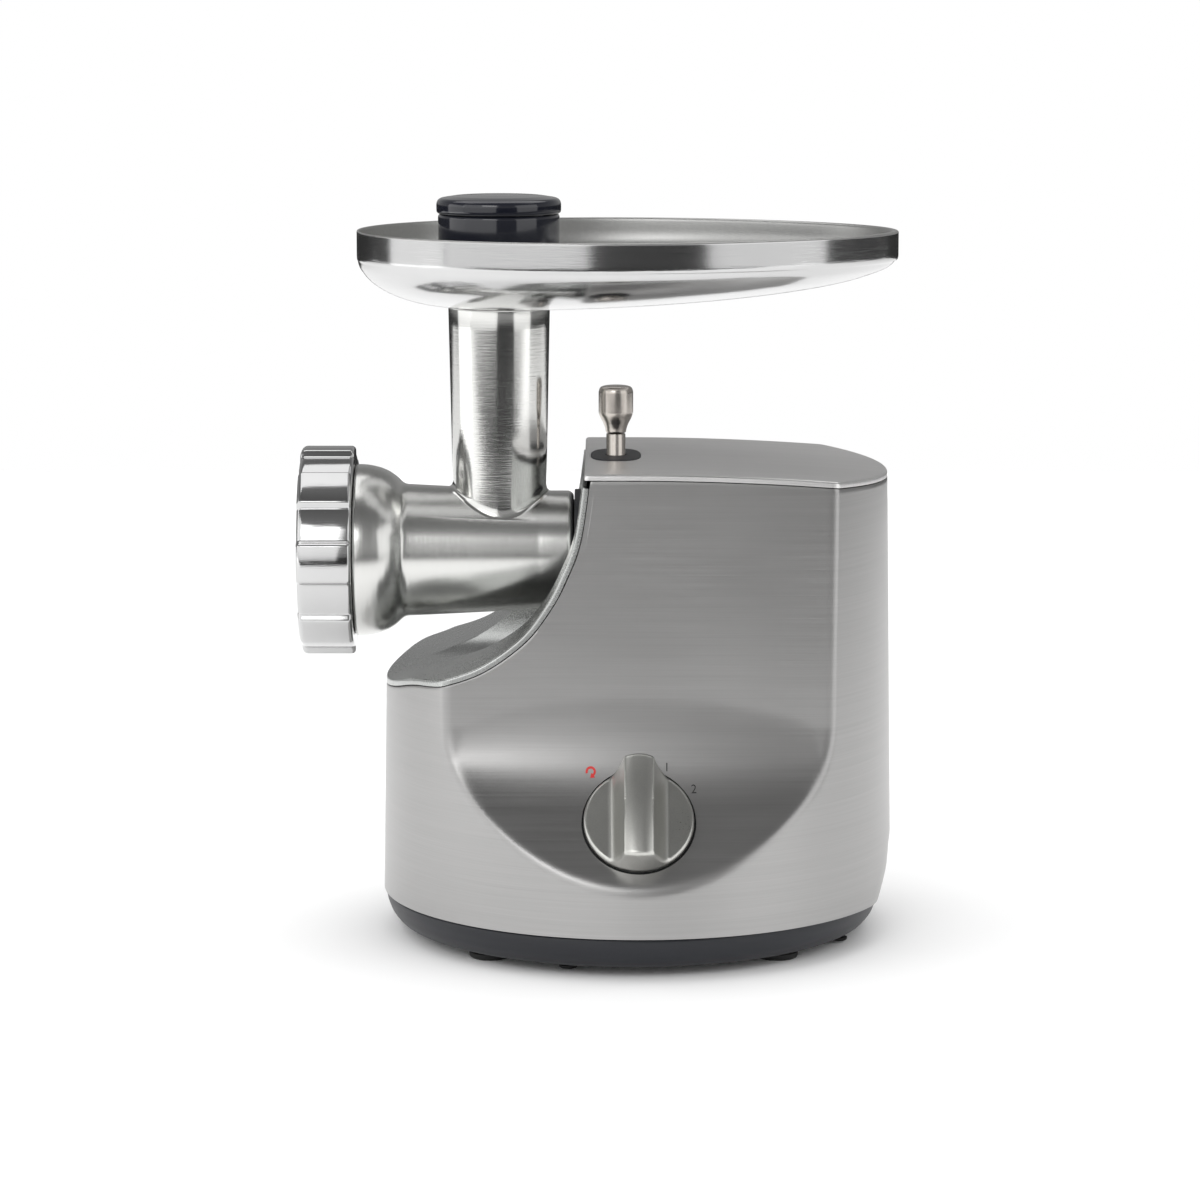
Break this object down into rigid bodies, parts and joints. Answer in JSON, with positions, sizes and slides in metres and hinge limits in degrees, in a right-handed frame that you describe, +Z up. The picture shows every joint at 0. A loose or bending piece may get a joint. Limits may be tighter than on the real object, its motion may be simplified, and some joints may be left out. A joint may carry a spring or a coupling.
{
  "type": "electric meat grinder",
  "caption": "Electric meat grinder with a brushed metal body, sloped control knob, polished grinding head, ring nut, oval feed tray and pusher.",
  "frame": {"origin": "middle of the object's footprint box, on the surface it stands on", "axes": "+Z up, the grinding head points along -X and the control knob faces -Y"},
  "size_m": [0.2624, 0.2392, 0.3254],
  "materials": {
    "brushed_steel": "brushed satin",
    "polished_casting": "polished casting",
    "chrome": "bright chrome",
    "satin_nickel": "satin nickel plate",
    "plain_steel": "machined",
    "cast_alloy": "as cast",
    "dark_plastic": "satin moulded",
    "gloss_plastic": "gloss moulded",
    "knob_silver": "satin metallic",
    "rubber": "moulded",
    "gear_nylon": "moulded nylon",
    "lamination_iron": "varnished laminations",
    "copper": "enamelled copper",
    "brass": "drawn brass",
    "board": "solder masked board"
  },
  "bodies": {
    "grinder": {"housing_front": "brushed_steel", "housing_rear": "brushed_steel", "top_cover": "brushed_steel", "saddle_cover": "brushed_steel", "base_pan": "dark_plastic", "circuit_breaker": "dark_plastic", "cord_gland": "rubber", "control_board": "board", "pin_trim": "dark_plastic", "pin_spring": "plain_steel", "outlet_collar": "dark_plastic", "rotary_switch": "dark_plastic", "gearbox_case": "cast_alloy", "gearbox_cover": "cast_alloy", "output_bearing": "plain_steel", "motor_stator": "lamination_iron", "front_bearing": "plain_steel", "rear_bearing": "plain_steel", "motor_end_frame": "cast_alloy", "head_casting": "polished_casting", "scroll_bush": "gear_nylon", "foot_1": "rubber", "base_screw_1": "plain_steel", "foot_2": "rubber", "base_screw_2": "plain_steel", "foot_3": "rubber", "base_screw_3": "plain_steel", "foot_4": "rubber", "base_screw_4": "plain_steel", "field_coil_1": "copper", "brush_holder_1": "brass", "field_coil_2": "copper", "brush_holder_2": "brass"},
    "release": {"release_knob": "satin_nickel", "release_pin": "plain_steel"},
    "knob": {"control_knob": "knob_silver", "knob_spindle": "plain_steel"},
    "reset": {"reset_button": "rubber"},
    "motor_rotor": {"rotor": "lamination_iron", "motor_shaft": "plain_steel", "commutator": "copper", "cooling_fan": "gear_nylon", "motor_pinion": "plain_steel"},
    "lay_gears": {"layshaft": "plain_steel", "layshaft_pinion": "plain_steel", "layshaft_gear": "gear_nylon"},
    "output": {"output_hub": "plain_steel", "output_gear": "plain_steel"},
    "scroll_set": {"scroll": "polished_casting", "cutter": "plain_steel"},
    "plate": {"screen": "plain_steel"},
    "nut": {"ring_nut": "chrome"},
    "tray_lift_off": {"tray": "polished_casting"},
    "pusher": {"pusher_body": "gloss_plastic", "pusher_cap": "gloss_plastic"}
  },
  "joints": [
    {"name": "release_pin_lift", "type": "slide", "parent": "grinder", "child": "release", "axis": [0, 0, 1], "range_m": [0, 0.0055], "stiffness_N_per_m": 400, "springref_m": -0.005, "deforming": ["pin_spring"]},
    {"name": "control_knob_turn", "type": "hinge", "parent": "grinder", "child": "knob", "pos_m": [0.0172, -0.0885, 0.064], "axis": [0, 0.788, -0.6157], "range_deg": [-42, 58]},
    {"name": "reset_button_press", "type": "slide", "parent": "grinder", "child": "reset", "axis": [0, 0, 1], "range_m": [0, 0.0015], "stiffness_N_per_m": 600, "springref_m": -0.001},
    {"name": "output_turn", "type": "hinge", "parent": "grinder", "child": "output", "pos_m": [0.0372, 0.005, 0.1685], "axis": [1, 0, 0], "continuous": true},
    {"name": "layshaft_turn", "type": "hinge", "parent": "grinder", "child": "lay_gears", "pos_m": [0.0372, 0.005, 0.1295], "axis": [1, 0, 0], "continuous": true},
    {"name": "motor_turn", "type": "hinge", "parent": "grinder", "child": "motor_rotor", "pos_m": [0.0772, 0.005, 0.089], "axis": [1, 0, 0], "continuous": true},
    {"name": "scroll_turn", "type": "hinge", "parent": "grinder", "child": "scroll_set", "pos_m": [-0.0628, 0.005, 0.1685], "axis": [1, 0, 0], "continuous": true},
    {"name": "plate_travel", "type": "slide", "parent": "grinder", "child": "plate", "axis": [-1, 0, 0], "range_m": [0, 0.009]},
    {"name": "ring_nut_turn", "type": "hinge", "parent": "plate", "child": "nut", "pos_m": [-0.1188, 0.005, 0.1685], "axis": [-1, 0, 0], "range_deg": [0, 1080]},
    {"name": "tray_lift", "type": "slide", "parent": "grinder", "child": "tray_lift_off", "axis": [0, 0, 1], "range_m": [0, 0.03]},
    {"name": "pusher_slide", "type": "slide", "parent": "tray_lift_off", "child": "pusher", "axis": [0, 0, 1], "range_m": [0, 0.125]}
  ],
  "couplings": [
    {"joint": "layshaft_turn", "follows": "output_turn", "ratio": -4.2},
    {"joint": "motor_turn", "follows": "output_turn", "ratio": 33.6},
    {"joint": "scroll_turn", "follows": "output_turn", "ratio": 1},
    {"joint": "plate_travel", "follows": "ring_nut_turn", "m_per_rad": 0.00047746}
  ]
}
